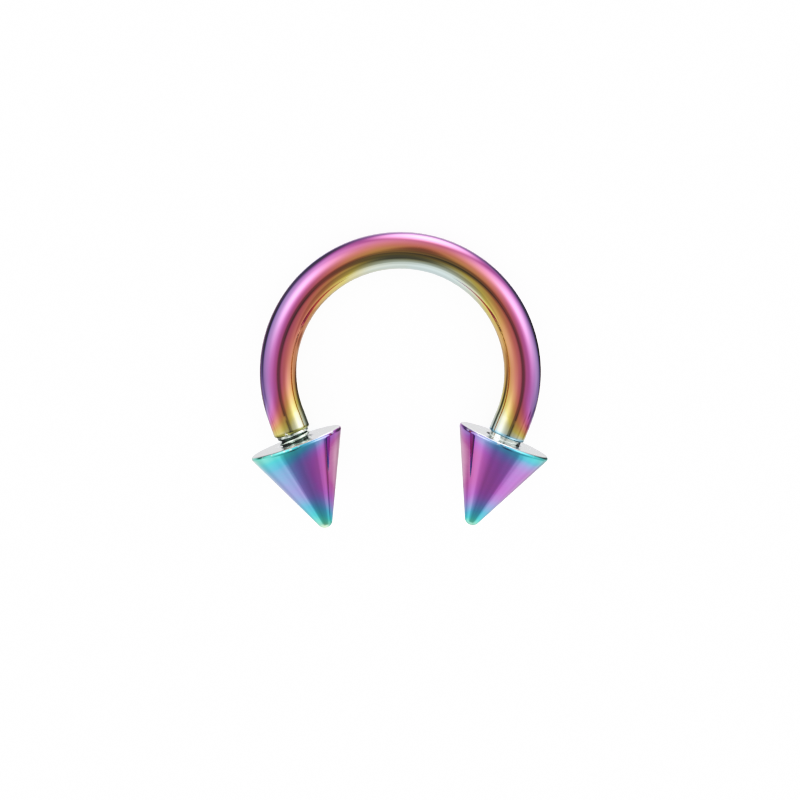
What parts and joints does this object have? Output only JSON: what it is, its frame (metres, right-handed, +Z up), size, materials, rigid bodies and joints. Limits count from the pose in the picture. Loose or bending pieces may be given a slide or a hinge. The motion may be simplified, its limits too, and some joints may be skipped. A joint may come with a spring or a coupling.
{
  "type": "horseshoe barbell",
  "caption": "Round metal bar bent into a horseshoe with a cone screwed on each end, in a rainbow finish, worn through a piercing.",
  "frame": {"origin": "middle of the footprint, on the surface that the part lies on", "axes": "+Z up from the surface, +Y towards the crown of the bend, +X towards the right cone with the crown at the top; the ring leans by 8.6 degrees, because it rests on its crown and on the rims of both cones"},
  "size_m": [0.0128, 0.0128, 0.0041],
  "materials": {
    "rainbow_bar": "mirror-polished stainless steel under a rainbow titanium film, violet outside to gold inside",
    "rainbow_cone": "mirror-polished stainless steel under a rainbow titanium film, teal at rim and tip, violet between, pale silver face"
  },
  "bodies": {
    "bar": {"bar": "rainbow_bar"},
    "cone_left": {"cone_left": "rainbow_cone"},
    "cone_right": {"cone_right": "rainbow_cone"}
  },
  "joints": [
    {"name": "left_unscrew", "type": "slide", "parent": "bar", "child": "cone_left", "axis": [0.3584, -0.9232, 0.1392], "range_m": [-0.00035, 0.00145]},
    {"name": "right_unscrew", "type": "slide", "parent": "bar", "child": "cone_right", "axis": [-0.3584, -0.9232, 0.1392], "range_m": [-0.0001, 0.0017]}
  ]
}
